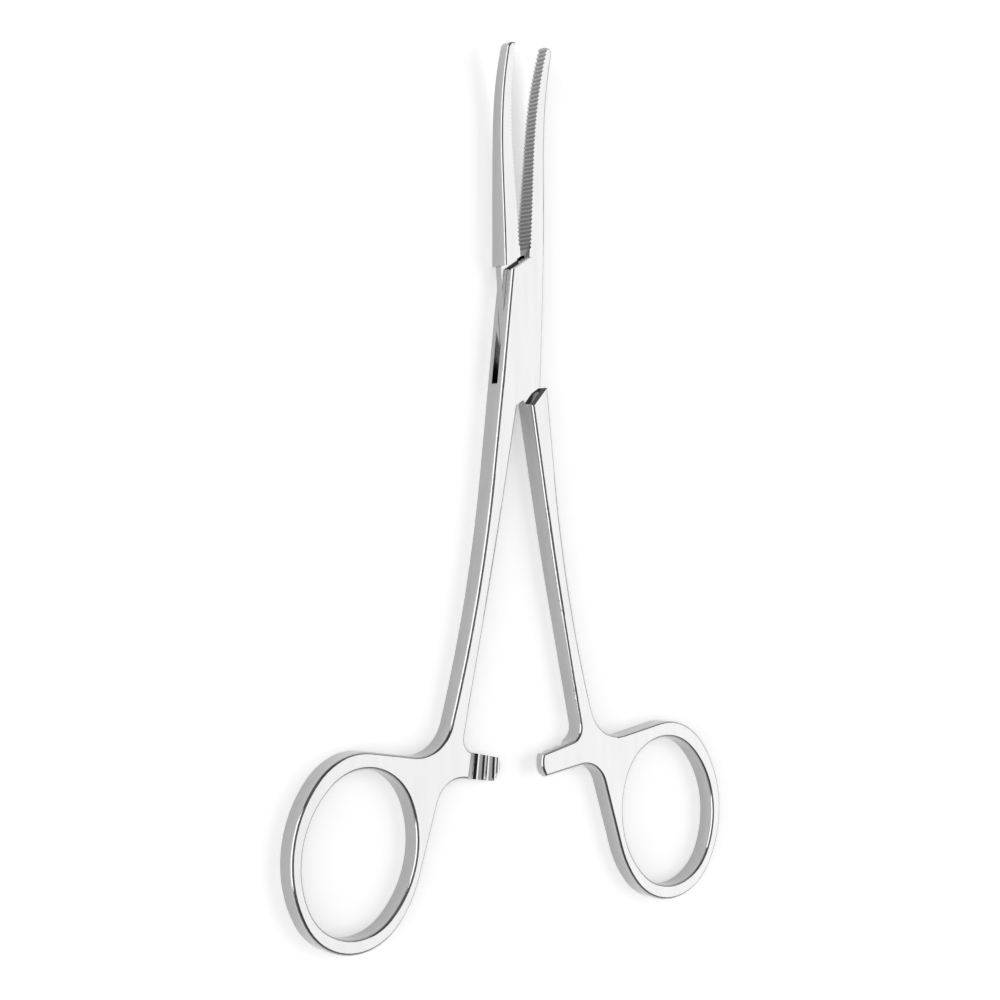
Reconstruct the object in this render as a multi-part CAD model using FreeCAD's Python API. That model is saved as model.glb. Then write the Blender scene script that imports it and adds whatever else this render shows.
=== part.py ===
# Hemostat forceps with a box lock: two forged halves and the pin that joins them.
#
# The forceps lies on its back face. The origin is on that face, on the axis of the
# lock pin. +Z points up out of the front face, and +Y runs along the forceps to the
# jaw tips, which curve up. Both halves are drawn closed, where the jaws meet on the
# plane x = 0, and are then turned apart about the pin.
#
# A half is drawn with its jaw on the +X side and its finger ring on the -X side.
# That is the box half. The tongue half is the mirror image of the same drawing.

import FreeCAD
import Part
import math
import os

# How far each half is turned from the closed position
half_opening_deg = 4.0

# Box lock
lock_half_length = 11.4        # pin to the end of the box, on the middle plane
lock_end_angle_deg = 35.5      # slant of the box's ends
lock_end_bevel = 0.2           # on the edges of the box's ends
box_right_width = 3.8          # at the lower end of the box
box_left_width = 3.2           # at the upper end of the box
slot_height = 1.4              # gap between the two plates of the box
slot_end_clearance = 0.5       # from the box's end line, mirrored, to the end of the slot
tongue_side_clearance = 0.05   # between the tongue and each plate
tongue_half_width = 3.15
tongue_straight = 1.0          # how far its straight side runs past the pin
tongue_flank_end_x = 0.9       # where its curved side runs into the shank
tongue_root = 1.2              # how far it runs into the jaw and the shank
pin_radius = 1.2
pin_running_clearance = 0.04

# Shoulders of the tongue half, which clear the ends of the box
shoulder_gap = 0.06            # at their nearest point, when closed
jaw_shoulder_angle_deg = 24.0
shank_shoulder_angle_deg = 44.0
shank_shoulder_drop = 0.63     # from the shoulder's nearest point to its level top
shank_bevel_run = 0.55         # on the front and back edges of the shank's shoulder
shank_bevel_depth = 0.4

# Jaws
jaw_length = 33.25             # from the end of the box to the tip, on the middle plane
jaw_root_gap = 0.12            # from the middle plane, so that the tips meet first
jaw_tip_gap = 0.03
jaw_tip_width = 1.4
jaw_tip_radius = 0.95          # of the tip's outer corner
jaw_middle_width = 3.05
jaw_middle_run = 4.6           # from the end of the box to where it has that width

# Serrations across the jaw faces
tooth_pitch = 0.635
tooth_depth = 0.3
tooth_root_margin = 1.3        # plain face at the jaw's root
tooth_tip_margin = 0.1         # plain face at its tip
tongue_half_tooth_shift = 0.5  # share of the pitch, so that the teeth mesh

# Side view (y, z): a flat back, and a front with a level lock, a sloping shank and a
# thinner level handle. The jaws curve up from there.
lock_thickness = 3.85
handle_thickness = 3.25
lock_level_end = -8.0
handle_level_start = -58.0
slope_bend_radius = 300.0
front_flat_run = 0.6           # how far the lock's level front runs past its end
back_flat_end = 2.0
# The jaws' curves as (share of the jaw's length from the end of the box, height)
front_curve = [(0.26, 3.74), (0.53, 3.54), (0.71, 3.8), (0.83, 4.3), (0.92, 4.9), (1.04, 5.96)]
back_curve = [
    (0.0, 0.4),
    (0.17, 0.62),
    (0.35, 0.84),
    (0.53, 1.06),
    (0.71, 1.46),
    (0.83, 2.05),
    (0.92, 2.76),
    (1.04, 3.97),
]

# Shank
shank_inner_top_x = -0.62      # where the shank's inner edge leaves the box
shank_inner_bend = (-3.5, -37.0)
shank_inner_bend_radius = 600.0
shank_inner_foot = (-7.2, -62.5)
shank_outer_bend = (-5.8, -42.4)
shank_outer_bend_radius = 225.0
shank_outer_foot = (-10.2, -62.0)

# Finger ring: an oval outline round an oval hole that leans a little more
ring_inner_x = -14.15          # the ring's side next to the arm
ring_upper_y = -66.1           # its upper end
hole_half_length = 12.55
hole_half_width = 10.2
ring_end_wall = 2.45
ring_side_wall = 1.85
ring_lean_deg = 2.0
hole_lean_deg = 8.3
hole_shift_x = 0.25            # from the ring's centre to the hole's
hole_shift_y = -0.1
oval_end_share = 0.4           # how far an oval's end arcs open out from an ellipse's
ring_top_angle_deg = -3.7      # where the shank's sweep leaves the oval
ring_side_angle_deg = 258.4    # where the inner side leaves the oval
sweep_radius = 6.3             # from the shank's outer edge to the ring
crotch_radius = 4.6            # from the ring to the ratchet arm
arm_root_radius = 2.3          # from the ratchet arm to the shank's inner edge

# Ratchet arms
arm_tip_top = (0.75, -67.45)
arm_tip_middle = (1.1, -69.3)
arm_tip_bottom = (0.35, -71.15)
arm_top_slope_deg = 8.8
arm_bottom_slope_deg = 4.9
ratchet_middle_z = 1.7
ratchet_gap = 0.1              # between the crests of the two arms
ratchet_tooth_height = 0.45
ratchet_pitch = 2.08
ratchet_rise = 0.25            # run of the steep side that holds
ratchet_crest = 0.3            # flat on each crest
ratchet_teeth = 3
ratchet_ramp_top_x = -6.4
ratchet_ramp_foot_x = -3.9
ratchet_first_x = -3.75        # where the first tooth rises
ratchet_overrun = 2.0          # how far the cut runs past the arm's sides

# Long edges: rounded on the front, bevelled on the back
handle_edge_radius = 0.5
handle_back_bevel = 0.35
jaw_edge_radius = 0.35
jaw_back_bevel = 0.25

# Sizes that follow from those above
end_slope = math.tan(math.radians(lock_end_angle_deg))
jaw_tip_y = lock_half_length + jaw_length
jaw_middle_y = lock_half_length + jaw_middle_run
front_flat_end = lock_half_length + front_flat_run
tip_middle_z = (front_curve[-1][1] + back_curve[-1][1]) / 2
ring_half_length = hole_half_length + ring_end_wall
ring_half_width = hole_half_width + ring_side_wall
ring_centre = (ring_inner_x - ring_half_width, ring_upper_y - ring_half_length)
hole_centre = (ring_centre[0] + hole_shift_x, ring_centre[1] + hole_shift_y)
ring_end_y = ring_centre[1] - ring_half_length
slot_bottom = (lock_thickness - slot_height) / 2
slot_top = slot_bottom + slot_height

# Cutting shapes: how far they run past the part, and how near a point must lie to a line
beyond = 20.0
tall = 12.0
bevel_overrun = 1.0
near = 0.01
parallel_within_deg = 2.5
nearly_parallel = math.cos(math.radians(parallel_within_deg))
half_reach = -ring_centre[0] + ring_half_width + beyond


def vector(point, z=0.0):
    """A point of the plan as a vector at height z."""
    return FreeCAD.Vector(point[0], point[1], z)


def heading(angle_deg):
    """The direction in the plan at an angle from +X, counter-clockwise."""
    angle = math.radians(angle_deg)
    return (math.cos(angle), math.sin(angle))


def between(start, end):
    """The direction from one point of the plan to another."""
    return (end[0] - start[0], end[1] - start[1])


def crossing(point, direction, other_point, other_direction):
    """The point where two lines of the plan cross."""
    cross = direction[0] * other_direction[1] - direction[1] * other_direction[0]
    apart = between(point, other_point)
    along = (apart[0] * other_direction[1] - apart[1] * other_direction[0]) / cross
    return (point[0] + along * direction[0], point[1] + along * direction[1])


def line(start, end):
    """A straight edge of the plan."""
    return Part.LineSegment(vector(start), vector(end)).toShape()


def arc(start, middle, end):
    """An arc of the plan through three points."""
    return Part.Arc(vector(start), vector(middle), vector(end)).toShape()


def corner_arc(before, corner, after, radius):
    """The arc of a rounded corner, with its first and last point."""
    to_before = (vector(before) - vector(corner)).normalize()
    to_after = (vector(after) - vector(corner)).normalize()
    half_angle = to_before.getAngle(to_after) / 2
    tangent = radius / math.tan(half_angle)
    first = vector(corner) + to_before * tangent
    last = vector(corner) + to_after * tangent
    bisector = (to_before + to_after).normalize()
    centre = vector(corner) + bisector * (radius / math.sin(half_angle))
    middle = centre - bisector * radius
    return first, Part.Arc(first, middle, last).toShape(), last


def rounded_path(points, radii):
    """Edges along points, with each inner corner rounded by a tangent arc."""
    edges = []
    start = vector(points[0])
    for index, radius in enumerate(radii, start=1):
        first, bend, last = corner_arc(points[index - 1], points[index], points[index + 1], radius)
        edges.append(Part.LineSegment(start, first).toShape())
        edges.append(bend)
        start = last
    edges.append(Part.LineSegment(start, vector(points[-1])).toShape())
    return edges


def face_of(edges):
    """A flat face inside edges that join end to end."""
    return Part.Face(Part.Wire(Part.__sortEdges__(edges)))


def polygon_face(points):
    """A face of the plan with straight sides."""
    closed = [vector(point) for point in points]
    closed.append(closed[0])
    return Part.Face(Part.makePolygon(closed))


def prism(face, bottom, top):
    """A flat face of the plan carried up from one height to another."""
    low = face.copy()
    low.translate(FreeCAD.Vector(0, 0, bottom))
    return low.extrude(FreeCAD.Vector(0, 0, top - bottom))


class Oval:
    """An oval of four tangent arcs. Angles count from its long axis towards -X."""

    def __init__(self, centre, half_length, half_width, lean_deg):
        tight = half_width * half_width / half_length
        self.end_radius = tight + oval_end_share * (half_width - tight)
        squares = half_length * half_length + half_width * half_width
        rest = squares - 2 * half_length * self.end_radius
        self.side_radius = rest / (2 * (half_width - self.end_radius))
        self.end_shift = half_length - self.end_radius
        self.side_shift = self.side_radius - half_width
        self.joint_deg = math.degrees(math.atan2(self.side_shift, self.end_shift))
        self.centre = centre
        self.lean_deg = lean_deg

    def direction(self, angle_deg):
        """The outward direction at an angle of the oval."""
        return heading(90 - self.lean_deg + angle_deg)

    def point(self, angle_deg):
        """The point of the outline whose outward direction has this angle."""
        angle = angle_deg % 360
        joint = self.joint_deg
        if joint <= angle <= 180 - joint:
            shift, towards, radius = self.side_shift, -90, self.side_radius
        elif 180 - joint < angle < 180 + joint:
            shift, towards, radius = self.end_shift, 180, self.end_radius
        elif 180 + joint <= angle <= 360 - joint:
            shift, towards, radius = self.side_shift, 90, self.side_radius
        else:
            shift, towards, radius = self.end_shift, 0, self.end_radius
        base = self.direction(towards)
        out = self.direction(angle_deg)
        x = self.centre[0] + shift * base[0] + radius * out[0]
        y = self.centre[1] + shift * base[1] + radius * out[1]
        return (x, y)

    def tangent(self, angle_deg):
        """The direction along the outline at an angle of the oval."""
        return self.direction(angle_deg + 90)

    def edges(self, start_deg, stop_deg):
        """The arcs of the outline from one angle to a larger one."""
        joint = self.joint_deg
        stops = [start_deg]
        for angle in (joint, 180 - joint, 180 + joint, 360 - joint):
            if start_deg < angle < stop_deg:
                stops.append(angle)
        stops.append(stop_deg)
        arcs = []
        for first, last in zip(stops, stops[1:]):
            middle = (first + last) / 2
            arcs.append(arc(self.point(first), self.point(middle), self.point(last)))
        return arcs


def upper_end(x):
    """The upper end line of the box, which slants up towards the jaw."""
    return lock_half_length + x * end_slope


def lower_end(x):
    """The lower end line of the box."""
    return -lock_half_length + x * end_slope


def jaw_outline():
    """The edges of the jaw, from its root round the tip and down the box's right side."""
    root = (jaw_root_gap, upper_end(jaw_root_gap))
    inner_tip = (jaw_tip_gap, jaw_tip_y)
    outer_tip = (jaw_tip_gap + jaw_tip_width, jaw_tip_y)
    side = (jaw_middle_width, jaw_middle_y)
    box_right = (box_right_width, lower_end(box_right_width))
    shank_top = (shank_inner_top_x, lower_end(shank_inner_top_x))
    return [
        line(root, inner_tip),
        line(inner_tip, outer_tip),
        arc(outer_tip, side, box_right),
        line(box_right, shank_top),
    ]


def handle_outline():
    """The edges of the shank, the ratchet arm and the finger ring, back to the box."""
    shank_top = (shank_inner_top_x, lower_end(shank_inner_top_x))
    box_left = (-box_left_width, upper_end(-box_left_width))
    root = (jaw_root_gap, upper_end(jaw_root_gap))
    inner_way = between(shank_inner_bend, shank_inner_foot)
    outer_way = between(shank_outer_bend, shank_outer_foot)
    arm_top_way = heading(180 - arm_top_slope_deg)
    arm_bottom_way = heading(180 - arm_bottom_slope_deg)
    ring = Oval(ring_centre, ring_half_length, ring_half_width, ring_lean_deg)
    ring_top = ring.point(ring_top_angle_deg)
    ring_side = ring.point(ring_side_angle_deg)
    ring_top_way = ring.tangent(ring_top_angle_deg)
    ring_side_way = ring.tangent(ring_side_angle_deg)
    arm_root = crossing(shank_inner_bend, inner_way, arm_tip_top, arm_top_way)
    crotch = crossing(ring_side, ring_side_way, arm_tip_bottom, arm_bottom_way)
    sweep = crossing(ring_top, ring_top_way, shank_outer_bend, outer_way)
    inner_path = [shank_top, shank_inner_bend, arm_root, arm_tip_top]
    outer_path = [ring_top, sweep, shank_outer_bend, box_left]
    edges = rounded_path(inner_path, [shank_inner_bend_radius, arm_root_radius])
    edges.append(arc(arm_tip_top, arm_tip_middle, arm_tip_bottom))
    edges += rounded_path([arm_tip_bottom, crotch, ring_side], [crotch_radius])
    edges += ring.edges(ring_top_angle_deg, ring_side_angle_deg)
    edges += rounded_path(outer_path, [sweep_radius, shank_outer_bend_radius])
    edges.append(line(box_left, root))
    return edges


def jaw_curve(start, shares):
    """A smooth curve of the side view that leaves a level face and runs along the jaw."""
    places = [vector(start)]
    for share, height in shares:
        places.append(vector((lock_half_length + share * jaw_length, height)))
    finish = (places[-1] - places[-2]).normalize()
    curve = Part.BSplineCurve()
    curve.interpolate(Points=places, InitialTangent=vector((1, 0)), FinalTangent=finish)
    return curve.toShape()


def side_profile():
    """The part's thickness along its length, as a block as wide as the part."""
    low_end = ring_end_y - beyond
    straight_front = [
        (low_end, handle_thickness),
        (handle_level_start, handle_thickness),
        (lock_level_end, lock_thickness),
        (front_flat_end, lock_thickness),
    ]
    back_low = (low_end, 0)
    back_join = (back_flat_end, 0)
    front = jaw_curve(straight_front[-1], front_curve)
    back = jaw_curve(back_join, back_curve)
    edges = rounded_path(straight_front, [slope_bend_radius, slope_bend_radius])
    edges.append(front)
    edges.append(Part.LineSegment(front.Vertexes[-1].Point, back.Vertexes[-1].Point).toShape())
    edges.append(back)
    edges.append(line(back_join, back_low))
    edges.append(line(back_low, straight_front[0]))
    face = face_of(edges)
    # A third of a turn about the line x = y = z stands the drawing up along the part
    upright = FreeCAD.Rotation(FreeCAD.Vector(1, 1, 1), 120)
    face.Placement = FreeCAD.Placement(FreeCAD.Vector(-half_reach, 0, 0), upright)
    return face.extrude(FreeCAD.Vector(2 * half_reach, 0, 0))


def edges_where(solid, wanted):
    """The edges whose middle point and direction are wanted."""
    edges = []
    for edge in solid.Edges:
        halfway = (edge.FirstParameter + edge.LastParameter) / 2
        if wanted(edge.valueAt(halfway), edge.tangentAt(halfway)):
            edges.append(edge)
    return edges


def is_upright(direction):
    """Whether an edge stands along Z."""
    return abs(direction.z) > nearly_parallel


def is_level(direction):
    """Whether an edge lies along X, as the joins of the side view do."""
    return abs(direction.x) > nearly_parallel


def is_on_box_end(point):
    """Whether a point lies on one of the box's end lines."""
    rise = point.y - point.x * end_slope
    return abs(abs(rise) - lock_half_length) < near


def is_outer_tip(middle, direction):
    """The upright edge at the outer corner of the jaw's tip."""
    on_tip = middle.y > jaw_tip_y - near
    return is_upright(direction) and on_tip and middle.x > jaw_tip_width / 2


def is_jaw_edge(middle, direction):
    """The long edges of the jaw and of the box's right side, and those of the tip."""
    if is_upright(direction) or is_on_box_end(middle):
        return False
    if middle.y < lower_end(middle.x) or middle.x < jaw_root_gap:
        return False
    return middle.y > jaw_tip_y - near or not is_level(direction)


def is_handle_edge(middle, direction):
    """The long edges of the shank, the arm, the ring and the box's left side."""
    if is_upright(direction) or is_level(direction) or is_on_box_end(middle):
        return False
    return middle.y < lower_end(middle.x) or middle.x < -jaw_root_gap


def front_and_back(solid, wanted):
    """The wanted edges in two lists: those of the front face and those of the back."""
    front = []
    back = []
    for edge in edges_where(solid, wanted):
        middle = edge.valueAt((edge.FirstParameter + edge.LastParameter) / 2)
        at_tip = middle.y > jaw_tip_y - jaw_tip_radius
        if middle.z > (tip_middle_z if at_tip else handle_thickness / 2):
            front.append(edge)
        else:
            back.append(edge)
    return front, back


def finish_edges(solid, wanted, radius, bevel):
    """The solid with its wanted edges rounded on the front and bevelled on the back."""
    solid = solid.makeFillet(radius, front_and_back(solid, wanted)[0])
    return solid.makeChamfer(bevel, front_and_back(solid, wanted)[1])


def blank():
    """A half before its lock, ratchet and serrations are cut."""
    solid = prism(face_of(jaw_outline() + handle_outline()), -tall, tall)
    solid = solid.makeFillet(jaw_tip_radius, edges_where(solid, is_outer_tip))
    hole = Oval(hole_centre, hole_half_length, hole_half_width, hole_lean_deg)
    solid = solid.cut(prism(face_of(hole.edges(0, 360)), -tall, tall))
    solid = solid.common(side_profile()).Solids[0]
    solid = finish_edges(solid, is_jaw_edge, jaw_edge_radius, jaw_back_bevel)
    return finish_edges(solid, is_handle_edge, handle_edge_radius, handle_back_bevel)


def serration_cutter(shift):
    """A comb that cuts the grooves across a jaw face, shifted by a share of the pitch."""
    first = lock_half_length + tooth_root_margin + shift * tooth_pitch
    last = jaw_tip_y - tooth_tip_margin
    count = int((last - first) / tooth_pitch)
    taper = (jaw_tip_gap - jaw_root_gap) / jaw_length
    points = [(-beyond, first)]
    for tooth in range(count):
        y = first + tooth * tooth_pitch
        x = jaw_root_gap + taper * (y - lock_half_length)
        points.append((x, y))
        points.append((x + tooth_depth, y + tooth_pitch / 2))
    end_y = first + count * tooth_pitch
    points.append((jaw_root_gap + taper * (end_y - lock_half_length), end_y))
    points.append((-beyond, end_y))
    return prism(polygon_face(points), -tall, tall)


def ratchet_cutter():
    """What is cut from the front of a ratchet arm: a ramp and teeth on rays from the pin."""
    crest_z = ratchet_middle_z - ratchet_gap / 2
    root_z = crest_z - ratchet_tooth_height
    arm_radius = -arm_tip_middle[1]
    ramp_run = ratchet_ramp_foot_x - ratchet_ramp_top_x
    ramp_rise = handle_thickness - root_z
    ramp_top = ratchet_ramp_foot_x - ramp_run * (tall - root_z) / ramp_rise
    profile = [(ramp_top, tall), (ratchet_ramp_foot_x, root_z)]
    for tooth in range(ratchet_teeth):
        x = ratchet_first_x + tooth * ratchet_pitch
        profile.append((x, root_z))
        profile.append((x + ratchet_rise, crest_z))
        profile.append((x + ratchet_rise + ratchet_crest, crest_z))
    profile.append((ratchet_first_x + ratchet_teeth * ratchet_pitch, root_z))
    profile.append((beyond, root_z))
    profile.append((beyond, tall))
    wires = []
    for y in (arm_tip_top[1] + ratchet_overrun, arm_tip_bottom[1] - ratchet_overrun):
        scale = -y / arm_radius
        points = [FreeCAD.Vector(x * scale, y, z) for x, z in profile]
        wires.append(Part.makePolygon(points + [points[0]]))
    return Part.makeLoft(wires, True, True)


def slot_cutter():
    """The slot of the box, open to both sides, with its two slanting ends."""
    end_y = lock_half_length + slot_end_clearance
    side_y = end_y - beyond * end_slope
    plan = polygon_face([
        (-beyond, end_y + beyond),
        (0, end_y),
        (beyond, side_y),
        (beyond, -end_y - beyond),
        (0, -end_y),
        (-beyond, -side_y),
    ])
    return prism(plan, slot_bottom, slot_top)


def pin_hole(radius):
    """A round cutter for the pin, through the whole lock."""
    return Part.makeCylinder(radius, 2 * tall, FreeCAD.Vector(0, 0, -tall))


def end_bevel(point, angle_deg, run, depth):
    """Wedges that bevel the front and back edges of an end face.

    The face stands on the line through the point at the angle from +X, and the
    material lies to the right of that line.
    """
    slope = depth / run
    cutter = None
    for surface, outward in ((lock_thickness, 1), (0, -1)):
        section = [
            (bevel_overrun, surface - outward * (depth + bevel_overrun * slope)),
            (-run - bevel_overrun, surface + outward * bevel_overrun * slope),
            (bevel_overrun, surface + outward * bevel_overrun),
        ]
        corners = [FreeCAD.Vector(-beyond, y, z) for y, z in section]
        face = Part.Face(Part.makePolygon(corners + [corners[0]]))
        wedge = face.extrude(FreeCAD.Vector(2 * beyond, 0, 0))
        cutter = wedge if cutter is None else cutter.fuse(wedge)
    cutter.rotate(FreeCAD.Vector(0, 0, 0), FreeCAD.Vector(0, 0, 1), angle_deg)
    cutter.translate(vector(point))
    return cutter


def side_block(low_y, high_y):
    """A block across the whole part between two heights of the plan."""
    corner = FreeCAD.Vector(-half_reach, low_y, -tall)
    return Part.makeBox(2 * half_reach, high_y - low_y, 2 * tall, corner)


def box_half():
    """The half with the box, its jaw on the right and its ring on the left."""
    upper = end_bevel((0, upper_end(0)), lock_end_angle_deg, lock_end_bevel, lock_end_bevel)
    upper = upper.common(side_block(0, upper_end(jaw_root_gap)))
    solid = blank()
    solid = solid.cut(serration_cutter(0))
    solid = solid.cut(upper)
    solid = solid.cut(slot_cutter())
    solid = solid.cut(pin_hole(pin_radius))
    return solid.cut(ratchet_cutter())


def tongue():
    """The thin tongue between the plates, which turns into itself by half a turn."""
    reach = lock_half_length + tongue_root
    flank_start = (-tongue_half_width, -tongue_straight)
    flank_end = (tongue_flank_end_x, -reach)
    run = flank_end[0] - flank_start[0]
    drop = flank_start[1] - flank_end[1]
    radius = (run * run + drop * drop) / (2 * run)
    turn = math.asin(drop / radius) / 2
    flank_middle = (
        flank_start[0] + radius * (1 - math.cos(turn)),
        flank_start[1] - radius * math.sin(turn),
    )
    side_start = (-tongue_half_width, upper_end(-tongue_half_width) + tongue_root / 2)
    inside = (-tongue_half_width + tongue_root / 2, reach)
    path = [inside, side_start, flank_start, flank_middle, flank_end]
    turned = [(-x, -y) for x, y in path]
    edges = []
    for here, there in ((path, turned), (turned, path)):
        edges.append(line(here[0], here[1]))
        edges.append(line(here[1], here[2]))
        edges.append(arc(here[2], here[3], here[4]))
        edges.append(line(here[4], there[0]))
    bottom = slot_bottom + tongue_side_clearance
    top = slot_top - tongue_side_clearance
    return prism(face_of(edges), bottom, top)


def lock_space(shank_corner, jaw_corner):
    """The room between the two shoulders of the tongue half, where the box goes."""
    jaw_slope = math.tan(math.radians(jaw_shoulder_angle_deg))
    shank_slope = math.tan(math.radians(shank_shoulder_angle_deg))
    level_x = shank_corner[0] - shank_shoulder_drop / shank_slope
    level_y = shank_corner[1] - shank_shoulder_drop
    plan = polygon_face([
        (-beyond, shank_corner[1] - (shank_corner[0] + beyond) * shank_slope),
        (level_x, level_y),
        (beyond, level_y),
        (beyond, jaw_corner[1] + (beyond - jaw_corner[0]) * jaw_slope),
        (-beyond, jaw_corner[1] - (beyond + jaw_corner[0]) * jaw_slope),
    ])
    return prism(plan, -tall, tall)


def tongue_half():
    """The half with the tongue, its jaw on the left and its ring on the right."""
    gap = shoulder_gap / math.cos(math.radians(lock_end_angle_deg))
    shank_corner = (box_right_width, lower_end(box_right_width) - gap)
    jaw_corner = (-jaw_root_gap, upper_end(-jaw_root_gap) + gap)
    bevel = end_bevel(shank_corner, shank_shoulder_angle_deg, shank_bevel_run, shank_bevel_depth)
    teeth = ratchet_cutter()
    teeth = teeth.mirror(FreeCAD.Vector(0, 0, ratchet_middle_z), FreeCAD.Vector(0, 0, 1))
    solid = blank()
    solid = solid.cut(serration_cutter(tongue_half_tooth_shift))
    solid = solid.cut(teeth)
    solid = solid.mirror(FreeCAD.Vector(0, 0, 0), FreeCAD.Vector(1, 0, 0))
    solid = solid.cut(lock_space(shank_corner, jaw_corner))
    solid = solid.cut(bevel.common(side_block(-2 * lock_half_length, 0)))
    solid = solid.fuse(tongue())
    return solid.cut(pin_hole(pin_radius + pin_running_clearance))


def lock_pin():
    """The pin, ground flush with both plates."""
    return pin_hole(pin_radius).common(side_profile())


def opened(solid, angle_deg):
    """A half turned about the pin."""
    turned = solid.copy()
    turned.rotate(FreeCAD.Vector(0, 0, 0), FreeCAD.Vector(0, 0, 1), angle_deg)
    return turned


def write(name, shape):
    """Write one piece to its own file, and say what it holds."""
    print(name, len(shape.Solids), shape.isValid(), round(shape.Volume, 2), len(shape.Faces))
    shape.exportStep(f"parts/{name}.step")


os.makedirs("parts", exist_ok=True)
write("box_half", opened(box_half(), -half_opening_deg))
write("tongue_half", opened(tongue_half(), half_opening_deg))
write("lock_pin", lock_pin())
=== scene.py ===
"""Box-lock hemostat forceps lying on a white floor, in polished stainless steel.

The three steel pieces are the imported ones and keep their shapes. This script gives them their finish
and makes the floor, the soft studio light and the camera. Lengths are in metres, angles in degrees.
"""

from math import cos, pi, radians, sin, tan

import bpy
from mathutils import Euler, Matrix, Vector

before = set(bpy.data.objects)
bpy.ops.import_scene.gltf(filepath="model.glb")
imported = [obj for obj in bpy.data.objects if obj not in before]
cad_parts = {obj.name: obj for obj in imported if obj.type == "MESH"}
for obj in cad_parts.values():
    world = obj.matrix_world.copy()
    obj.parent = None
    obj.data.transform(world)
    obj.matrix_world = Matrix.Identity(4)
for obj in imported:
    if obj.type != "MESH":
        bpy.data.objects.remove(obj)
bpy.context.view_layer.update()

# Camera, solved from the outline of the forceps in the photo
CAMERA_PLACE = (-0.2026, -0.0268, 0.2449)
CAMERA_TURN = (0.168, -39.304, -0.294)
CAMERA_REACH = (0.01, 100.0)
LENS = 72.0
SENSOR = 36.0

# Floor. The glow goes from its first value to its second between the two distances.
FLOOR_SIZE = 40.0
FLOOR_WHITE = 0.90
FLOOR_GLOW = (0.37, 1.0)
FLOOR_GLOW_DISTANCES = (0.5, 3.0)

# Softboxes. Angles lean from straight up, to the right (+X) of the forceps or to its left.
LAMP_DISTANCE = 3.0
RIGHT_LAMP = {"from": 26.0, "to": 62.0, "length": 2.9, "level": 1.75}
LEFT_LAMP = {"from": -83.0, "to": -35.0, "length": 2.9, "level": 1.9}
TOP_LAMP = {"from": -7.0, "to": 7.0, "length": 2.6, "level": 0.34}
FILL_SIZE = 4.0
FILL_LEVEL = 0.36

# Room: the sine of the angle above the horizon, and how bright the room is there
ROOM_STEPS = [(0.22, 1.0), (0.40, 0.32), (0.85, 0.06)]

# Steel. The brushing is fine noise along Y and the clouds are soft noise drawn out the same way.
# Each spread is the part of the noise that covers the whole range of the shading or the roughness.
STEEL = (0.49, 0.49, 0.49)
STEEL_SHADING = (0.94, 1.0)
STEEL_ROUGHNESS = (0.08, 0.15)
BRUSH_PITCH = 0.00014
BRUSH_STRETCH = 40.0
BRUSH_DEPTH = 0.000004
BRUSH_DETAIL = 3.0
CLOUD_SCALE = (600.0, 60.0, 600.0)
CLOUD_DETAIL = 4.0
SHADING_SPREAD = (0.3, 0.7)
GLOSS_SPREAD = (0.1, 0.4)


class Nodes:
    """A short way to add and link the nodes of one material or world."""

    def __init__(self, owner):
        owner.use_nodes = True
        self.tree = owner.node_tree
        self.tree.nodes.clear()

    def add(self, kind, settings=None, **inputs):
        node = self.tree.nodes.new(kind)
        for name, value in (settings or {}).items():
            setattr(node, name, value)
        for name, value in inputs.items():
            self.feed(node, name.replace("_", " "), value)
        return node

    def feed(self, node, name, value):
        socket = node.inputs[name]
        if isinstance(value, bpy.types.NodeSocket):
            self.tree.links.new(value, socket)
        else:
            socket.default_value = value

    def pair(self, kind, first, second, settings=None):
        """A node whose two inputs have the same name."""
        node = self.add(kind, settings)
        self.feed(node, 0, first)
        self.feed(node, 1, second)
        return node.outputs[0]

    def spread(self, value, old, new):
        """Takes a value from one range to another and holds it at the ends."""
        node = self.add("ShaderNodeMapRange", Value=value)
        for name, number in zip(("From Min", "From Max", "To Min", "To Max"), (*old, *new)):
            self.feed(node, name, number)
        return node.outputs["Result"]

    def noise(self, place, scale, detail):
        """Noise from 0 to 1, with a scale of its own along each axis."""
        spot = self.add("ShaderNodeMapping", Vector=place, Scale=scale).outputs["Vector"]
        return self.add("ShaderNodeTexNoise", Vector=spot, Scale=1.0, Detail=detail).outputs["Fac"]


def grey(level):
    return (level, level, level, 1.0)


def steel(name):
    """Polished steel with faint brushing along the piece, drawn-out shading and uneven gloss."""
    material = bpy.data.materials.new(name)
    n = Nodes(material)
    place = n.add("ShaderNodeTexCoord").outputs["Object"]
    across = 1 / BRUSH_PITCH
    grain = n.noise(place, (across, across / BRUSH_STRETCH, across), BRUSH_DETAIL)
    cloud = n.noise(place, CLOUD_SCALE, CLOUD_DETAIL)
    shade = n.spread(cloud, SHADING_SPREAD, STEEL_SHADING)
    tone = n.add("ShaderNodeVectorMath", {"operation": "SCALE"}, Vector=STEEL, Scale=shade)
    wear = n.pair("ShaderNodeMath", cloud, grain, {"operation": "MULTIPLY"})
    bump = n.add("ShaderNodeBump", Height=grain, Distance=BRUSH_DEPTH, Strength=1.0)
    surface = n.add(
        "ShaderNodeBsdfPrincipled",
        Base_Color=tone.outputs["Vector"],
        Metallic=1.0,
        Roughness=n.spread(wear, GLOSS_SPREAD, STEEL_ROUGHNESS),
        Normal=bump.outputs["Normal"],
    )
    n.add("ShaderNodeOutputMaterial", Surface=surface.outputs["BSDF"])
    return material


def paint(node, material):
    """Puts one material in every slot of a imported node."""
    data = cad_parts[node].data
    if not data.materials:
        data.materials.append(material)
    for place in range(len(data.materials)):
        data.materials[place] = material


def dress_forceps():
    body = steel("polished_steel")
    for node in ("box_half", "tongue_half"):
        paint(node, body)
    paint("lock_pin", steel("pin_steel"))


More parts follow.
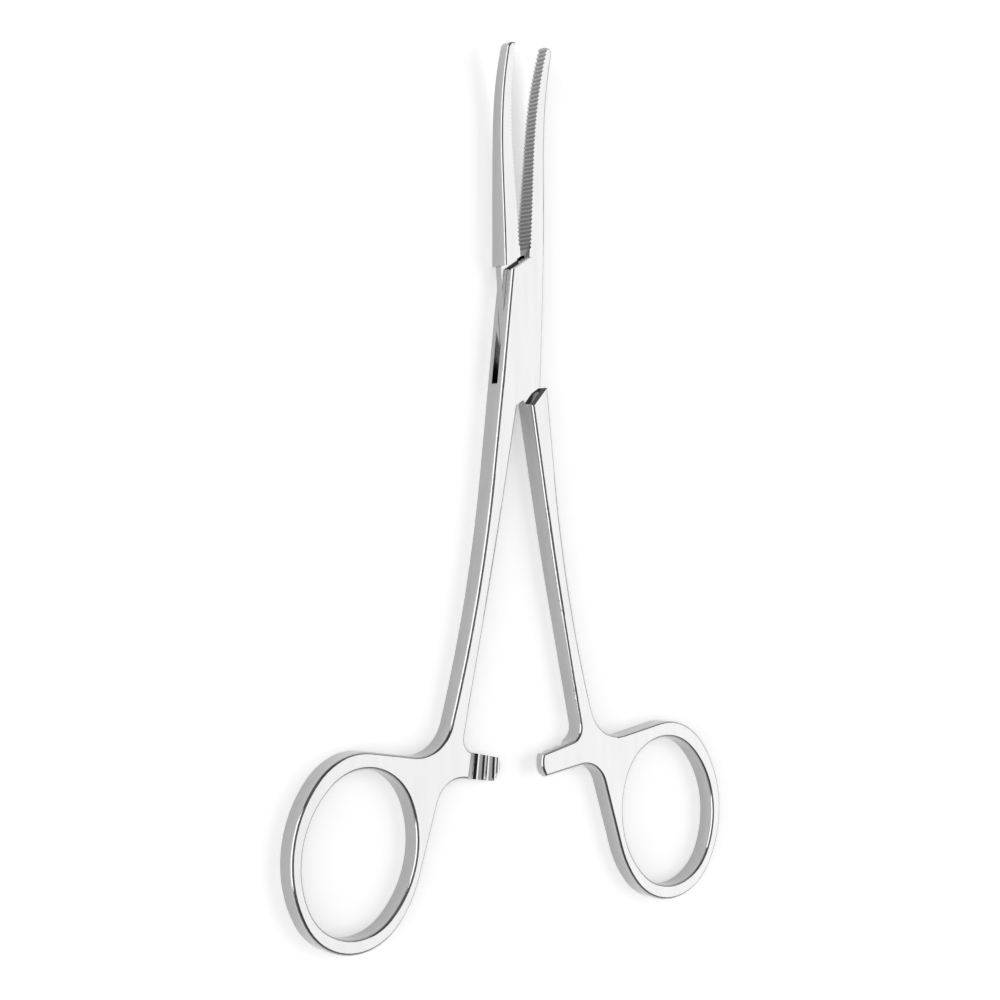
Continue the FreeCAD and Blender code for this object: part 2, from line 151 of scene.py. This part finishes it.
def seen_directly(n):
    """One for what the camera sees, itself or in metal and glass, and nothing for light on surfaces."""
    rays = n.add("ShaderNodeLightPath")
    seen = rays.outputs["Is Camera Ray"]
    for other in ("Is Glossy Ray", "Is Transmission Ray"):
        seen = n.pair("ShaderNodeMath", seen, rays.outputs[other], {"operation": "MAXIMUM"})
    return seen


def floor_paint():
    """Matt white that takes the shadow, with a glow that lifts it to the white of the photo."""
    material = bpy.data.materials.new("white_floor")
    n = Nodes(material)
    white = n.add("ShaderNodeBsdfDiffuse", Color=grey(FLOOR_WHITE))
    place = n.add("ShaderNodeTexCoord").outputs["Object"]
    distance = n.add("ShaderNodeVectorMath", {"operation": "LENGTH"}, Vector=place)
    rise = n.spread(distance.outputs["Value"], FLOOR_GLOW_DISTANCES, FLOOR_GLOW)
    strength = n.pair("ShaderNodeMath", seen_directly(n), rise, {"operation": "MULTIPLY"})
    glow = n.add("ShaderNodeEmission", Color=grey(1.0), Strength=strength)
    both = n.pair("ShaderNodeAddShader", white.outputs["BSDF"], glow.outputs["Emission"])
    n.add("ShaderNodeOutputMaterial", Surface=both)
    return material


def make_floor():
    half = FLOOR_SIZE / 2
    corners = [(-half, -half, 0), (half, -half, 0), (half, half, 0), (-half, half, 0)]
    mesh = bpy.data.meshes.new("floor")
    mesh.from_pydata(corners, [], [(0, 1, 2, 3)])
    mesh.materials.append(floor_paint())
    floor = bpy.data.objects.new("floor", mesh)
    bpy.context.scene.collection.objects.link(floor)


def make_light(name, width, length, level, lean):
    """A light panel that leans by an angle and faces the forceps, as bright all over as its level."""
    light = bpy.data.lights.new(name, "AREA")
    light.shape = "RECTANGLE"
    light.size = width
    light.size_y = length
    light.energy = level * pi * width * length
    holder = bpy.data.objects.new(name, light)
    holder.location = Vector((sin(lean), 0, cos(lean))) * LAMP_DISTANCE
    holder.rotation_euler = Euler((0, lean, 0))
    holder.visible_camera = False
    bpy.context.scene.collection.objects.link(holder)
    return holder


def make_softbox(name, lamp):
    """A softbox that fills the sky between two angles."""
    middle = radians((lamp["from"] + lamp["to"]) / 2)
    half = radians((lamp["to"] - lamp["from"]) / 2)
    make_light(name, 2 * LAMP_DISTANCE * tan(half), lamp["length"], lamp["level"], middle)


def make_fill():
    """A faint, wide light from straight above for the floor. Metal doesn't show it."""
    fill = make_light("fill_light", FILL_SIZE, FILL_SIZE, FILL_LEVEL, 0.0)
    fill.visible_glossy = False


def make_room():
    world = bpy.data.worlds.new("room")
    bpy.context.scene.world = world
    n = Nodes(world)
    way = n.add("ShaderNodeTexCoord").outputs["Generated"]
    parts = n.add("ShaderNodeSeparateXYZ", Vector=way)
    ramp = n.add("ShaderNodeValToRGB", Fac=parts.outputs["Z"])
    steps = ramp.color_ramp.elements
    for rise, _ in ROOM_STEPS[1:-1]:
        steps.new(rise)
    for step, (rise, level) in zip(steps, ROOM_STEPS):
        step.position = rise
        step.color = grey(level)
    sky = n.add("ShaderNodeBackground", Color=ramp.outputs["Color"], Strength=1.0)
    n.add("ShaderNodeOutputWorld", Surface=sky.outputs["Background"])


def make_camera():
    lens = bpy.data.cameras.new("camera")
    lens.lens = LENS
    lens.sensor_width = SENSOR
    lens.clip_start, lens.clip_end = CAMERA_REACH
    camera = bpy.data.objects.new("camera", lens)
    camera.location = CAMERA_PLACE
    camera.rotation_euler = Euler([radians(angle) for angle in CAMERA_TURN])
    bpy.context.scene.collection.objects.link(camera)
    bpy.context.scene.camera = camera


dress_forceps()
make_floor()
make_softbox("right_softbox", RIGHT_LAMP)
make_softbox("left_softbox", LEFT_LAMP)
make_softbox("top_softbox", TOP_LAMP)
make_fill()
make_room()
make_camera()
bpy.context.scene.view_settings.view_transform = "Standard"
